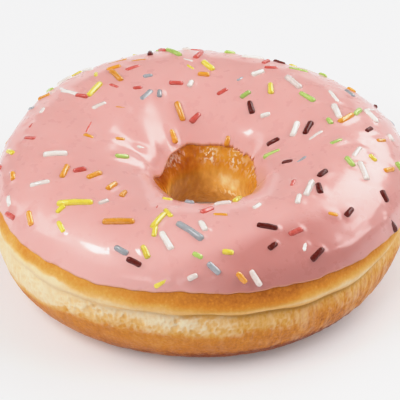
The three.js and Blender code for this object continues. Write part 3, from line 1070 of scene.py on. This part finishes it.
def sprinkle_mesh(sprinkles, seed):
    """Rods with blunt round ends. Each is a circle carried along a line that bends down with the
    icing, thinner at both ends, for all sprinkles at once; a little taper and bend is drawn."""
    drawn = np.random.default_rng(seed)
    number = len(sprinkles)

    def column(key):
        return np.array([one[key] for one in sprinkles])[:, None]

    length, thickness, heading = map(column, ("length", "thickness", "heading"))
    spot, along, side, out = map(column, ("spot", "along", "side", "out"))
    from_end, girth = np.array(SPRINKLE_RINGS).T
    half = length / 2
    near = from_end * thickness
    at = np.concatenate([near - half, np.zeros((number, 1)), (half - near)[:, ::-1]], axis=1)
    rings = at.shape[1]
    taper = 1 + drawn.uniform(-TAPER, TAPER, (number, 1)) * at / half
    radius = thickness / 2 * np.concatenate([girth, [1.0], girth[::-1]]) * taper
    curve = np.cos(heading) ** 2 / RING_CURVE + np.sin(heading) ** 2 / SECTION_RADIUS
    sag = -BEND * at**2 * curve
    sway = drawn.uniform(-SWAY, SWAY, (number, 1)) * (at**2 / half)
    line = spot + at[..., None] * along + sag[..., None] * out + sway[..., None] * side
    turn = (np.arange(SPRINKLE_SIDES) / SPRINKLE_SIDES * FULL_TURN)[:, None]
    spokes = np.cos(turn) * side[:, None] + np.sin(turn) * out[:, None]
    dents = drawn.uniform(*DENTED, (number, rings, SPRINKLE_SIDES, 1))
    points = line[:, :, None] + radius[:, :, None, None] * dents * spokes
    tone = np.broadcast_to(drawn.uniform(0, 1, (number, 1, 1)), points.shape[:-1])
    return points, rod_faces(number, rings, SPRINKLE_SIDES), tone


def sprinkle_finish(name, shade):
    """Sugar paste with a thin shine, less on a dark one, and a little lighter or darker from one
    sprinkle to the next."""
    finish = Finish(name)
    place = finish.place()
    tone = finish.attribute("tone")
    shine = min(0.1 + 2.2 * max(shade), 1.0)
    light = [min(part * 1.15 + 0.01, 1) for part in shade]
    deep = [part * 0.8 for part in shade]
    streak = finish.noise(place, 1.2 * MM, 2)
    grain = finish.bump(finish.noise(place, 0.6 * MM, 2), 0.25 * MM, 0.8)
    return finish.surface(
        Base_Color=finish.mixed((0.7 * tone + 0.5 * streak - 0.1).lesser(1.0), deep, light),
        Roughness=finish.within(streak, 0.3, 0.7, 0.16, 0.34),
        Normal=grain,
        Specular_IOR_Level=0.3 * shine,
        Coat_Weight=shine,
        Coat_Roughness=0.06,
        Coat_IOR=1.65,
        Subsurface_Weight=0.15,
        Subsurface_Radius=(1.0, 0.8, 0.7),
        Subsurface_Scale=0.5 * MM,
    )


def make_sprinkles():
    """One piece for each colour."""
    looks = settings().colours
    sprinkles = sprinkle_places()
    for seed, name in enumerate(DRAWN_COLOURS):
        group = [one for one in sprinkles if one["colour"] == name]
        points, faces, tone = sprinkle_mesh(group, seed)
        finish = sprinkle_finish(f"sprinkle_{name}", getattr(looks, name))
        piece = make_piece(f"sprinkles_{name}", points, faces, finish, {"tone": tone})
        dress(piece, "icing")


# ------------------------ the stage

# The direction from the ring to each light; its width and height in metres; its power in watts.
# The soft lights only shade the forms, and the cards show only as reflections.
SOFT_LIGHTS = {
    "front_left": ((-0.45, -0.45, 0.78), (0.6, 0.5), 3.6),
    "front": ((0.0, -0.65, 0.75), (0.7, 0.6), 0.7),
    "high_left": ((-0.65, -0.05, 0.76), (0.6, 0.6), 2.4),
    "high_right": ((0.65, -0.05, 0.76), (0.6, 0.6), 3.0),
    "left": ((-0.87, 0.05, 0.5), (0.5, 0.6), 1.6),
    "right": ((0.87, 0.05, 0.5), (0.5, 0.6), 1.3),
    "back_right": ((0.5, 0.5, 0.7), (0.6, 0.5), 2.5),
}
CARDS = {
    "key": ((-0.44, 0.04, 0.9), (0.2, 0.1), 1.2),
    "window": ((0.52, 0.55, 0.65), (0.72, 0.38), 4.0),
    "window_low": ((0.56, 0.72, 0.4), (0.25, 0.2), 0.6),
    "right_high": ((0.74, 0.2, 0.64), (0.2, 0.2), 0.35),
    "right": ((0.87, 0.02, 0.5), (0.3, 0.3), 1.6),
    "tall_left": ((-0.72, 0.3, 0.62), (0.3, 0.6), 1.4),
    "low_front": ((-0.25, -0.9, 0.35), (0.5, 0.2), 0.8),
    "horizon": ((0.0, 0.99, 0.1), (1.8, 0.3), 1.6),
}
LIGHT_DISTANCE = 0.95

# The colours of the light under the hole and of the light from all round.
WARM = (1.0, 0.95, 0.76)
COOL = (0.98, 0.99, 1.0)


def make_floor():
    sizes = settings().stage
    finish = Finish("floor")
    cloud = finish.noise(finish.place(), 500 * MM, 2)
    shade = settings().colours.floor
    finish.surface(
        Base_Color=finish.mixed(cloud, shade, [part * 0.99 for part in shade]),
        Roughness=0.6,
        Specular_IOR_Level=0.2,
        Emission_Color=(1, 1, 1, 1),
        Emission_Strength=sizes.floor_glow,
    )
    half = sizes.floor_size / 2
    corners = np.array([(-half, -half, 0), (half, -half, 0), (half, half, 0), (-half, half, 0)])
    floor = make_piece("floor", corners, [np.array([[0, 1, 2, 3]])], finish.material)


def make_lamp(name, shape, size, power):
    """An area light with a width and a height, at the origin and facing down."""
    light = bpy.data.lights.new(name, "AREA")
    light.shape = shape
    light.size, light.size_y = size
    light.energy = power
    lamp = bpy.data.objects.new(name, light)
    bpy.context.scene.collection.objects.link(lamp)
    return lamp


def make_lights(places, are_cards):
    """Area lights that face the ring: cards show only as reflections, others only shade."""
    for name, (direction, size, power) in places.items():
        lamp = make_lamp(name, "RECTANGLE", size, power)
        towards = Vector(direction).normalized()
        lamp.location = towards * LIGHT_DISTANCE
        lamp.rotation_euler = towards.to_track_quat("Z", "Y").to_euler()
        lamp.visible_diffuse = not are_cards
        lamp.visible_glossy = are_cards


def make_bounce():
    """A small warm light under the hole, for what the table and the dough pass on into it."""
    sizes = settings().stage
    dough = settings().dough
    lamp = make_lamp("bounce", "DISK", (sizes.bounce_width,) * 2, sizes.bounce_power)
    lamp.data.color = WARM
    lamp.location = (dough.centre_x + dough.hole_shift_x, dough.centre_y + dough.hole_shift_y, MM)
    lamp.rotation_euler = (math.pi, 0, 0)
    lamp.visible_glossy = False


def make_world():
    """Faint pale light from all round."""
    world = bpy.data.worlds.new("studio")
    world.use_nodes = True
    light = world.node_tree.nodes["Background"]
    light.inputs["Color"].default_value = (*COOL, 1)
    light.inputs["Strength"].default_value = settings().stage.world_strength
    bpy.context.scene.world = world


def make_camera():
    """The camera looks along +Y and down, at a point just off the ring's middle."""
    sizes = settings().stage
    dough = settings().dough
    height = sizes.camera_height
    forward = Vector((0, math.cos(height), -math.sin(height)))
    right = Vector((1, 0, 0))
    up = right.cross(forward)
    middle = Vector((dough.centre_x, dough.centre_y, sizes.aim_height))
    aim = middle - up * sizes.aim_down - right * sizes.aim_left
    lens = bpy.data.cameras.new("camera")
    lens.lens = sizes.focal_length
    lens.clip_start = 10 * MM
    camera = bpy.data.objects.new("camera", lens)
    turn = Matrix((right, up, -forward)).transposed() @ Matrix.Rotation(sizes.camera_roll, 3, "Z")
    camera.matrix_world = Matrix.Translation(aim - forward * sizes.camera_distance) @ turn.to_4x4()
    bpy.context.scene.collection.objects.link(camera)
    bpy.context.scene.camera = camera


# Light in the scene to light in the picture: as it is up to the knee, then ever less.
TONES = [(0.0, 0.0), (0.7, 0.7), (0.88, 0.84), (1.0, 0.887), (1.3, 0.95), (1.9, 1.0)]


def set_tones():
    """Highlights roll off softly, as on film, so that a sheen on a coloured surface turns pale."""
    view = bpy.context.scene.view_settings
    view.view_transform = "Standard"
    view.use_curve_mapping = True
    mapping = view.curve_mapping
    brightest = TONES[-1][0]
    mapping.white_level = (brightest, brightest, brightest)
    curve = mapping.curves[3]
    while len(curve.points) < len(TONES):
        curve.points.new(0.5, 0.5)
    for point, (scene_light, picture_light) in zip(curve.points, TONES):
        point.location = (scene_light / brightest, picture_light)
        point.handle_type = "VECTOR"
    mapping.update()


def make_stage():
    make_floor()
    make_lights(SOFT_LIGHTS, are_cards=False)
    make_lights(CARDS, are_cards=True)
    make_bounce()
    make_world()
    make_camera()
    set_tones()


# ------------------------ the add-on


class DOUGHNUT_OT_dough(bpy.types.Operator):
    """Make the ring of dough"""

    bl_idname = "doughnut.dough"
    bl_label = "Make dough"

    def execute(self, context):
        make_dough()
        return {"FINISHED"}


class DOUGHNUT_OT_icing(bpy.types.Operator):
    """Make the icing"""

    bl_idname = "doughnut.icing"
    bl_label = "Make icing"

    def execute(self, context):
        make_icing()
        return {"FINISHED"}


class DOUGHNUT_OT_sprinkles(bpy.types.Operator):
    """Make the sprinkles, one piece for each colour"""

    bl_idname = "doughnut.sprinkles"
    bl_label = "Make sprinkles"

    def execute(self, context):
        make_sprinkles()
        return {"FINISHED"}


class DOUGHNUT_OT_stage(bpy.types.Operator):
    """Make the floor, the lights and the camera"""

    bl_idname = "doughnut.stage"
    bl_label = "Make stage"

    def execute(self, context):
        make_stage()
        return {"FINISHED"}


class VIEW3D_PT_doughnut(bpy.types.Panel):
    """Lists what can be made and changed"""

    bl_label = "Doughnut"
    bl_space_type = "VIEW_3D"
    bl_region_type = "UI"
    bl_category = "Doughnut"

    def draw(self, context):
        for group in ("dough", "icing", "sprinkles", "stage", "colours"):
            box = self.layout.box()
            if group != "colours":
                box.operator(f"doughnut.{group}")
            values = getattr(context.scene.doughnut, group)
            for name in values.__annotations__:
                box.prop(values, name)


CLASSES = (
    DoughSizes,
    IcingSizes,
    SprinkleSizes,
    Colours,
    StageSizes,
    Doughnut,
    DOUGHNUT_OT_dough,
    DOUGHNUT_OT_icing,
    DOUGHNUT_OT_sprinkles,
    DOUGHNUT_OT_stage,
    VIEW3D_PT_doughnut,
)


def register():
    for each in CLASSES:
        bpy.utils.register_class(each)
    bpy.types.Scene.doughnut = PointerProperty(type=Doughnut)


def unregister():
    del bpy.types.Scene.doughnut
    for each in reversed(CLASSES):
        bpy.utils.unregister_class(each)


def main():
    register()
    bpy.ops.doughnut.dough()
    bpy.ops.doughnut.icing()
    bpy.ops.doughnut.sprinkles()
    bpy.ops.doughnut.stage()


if __name__ == "__main__":
    main()
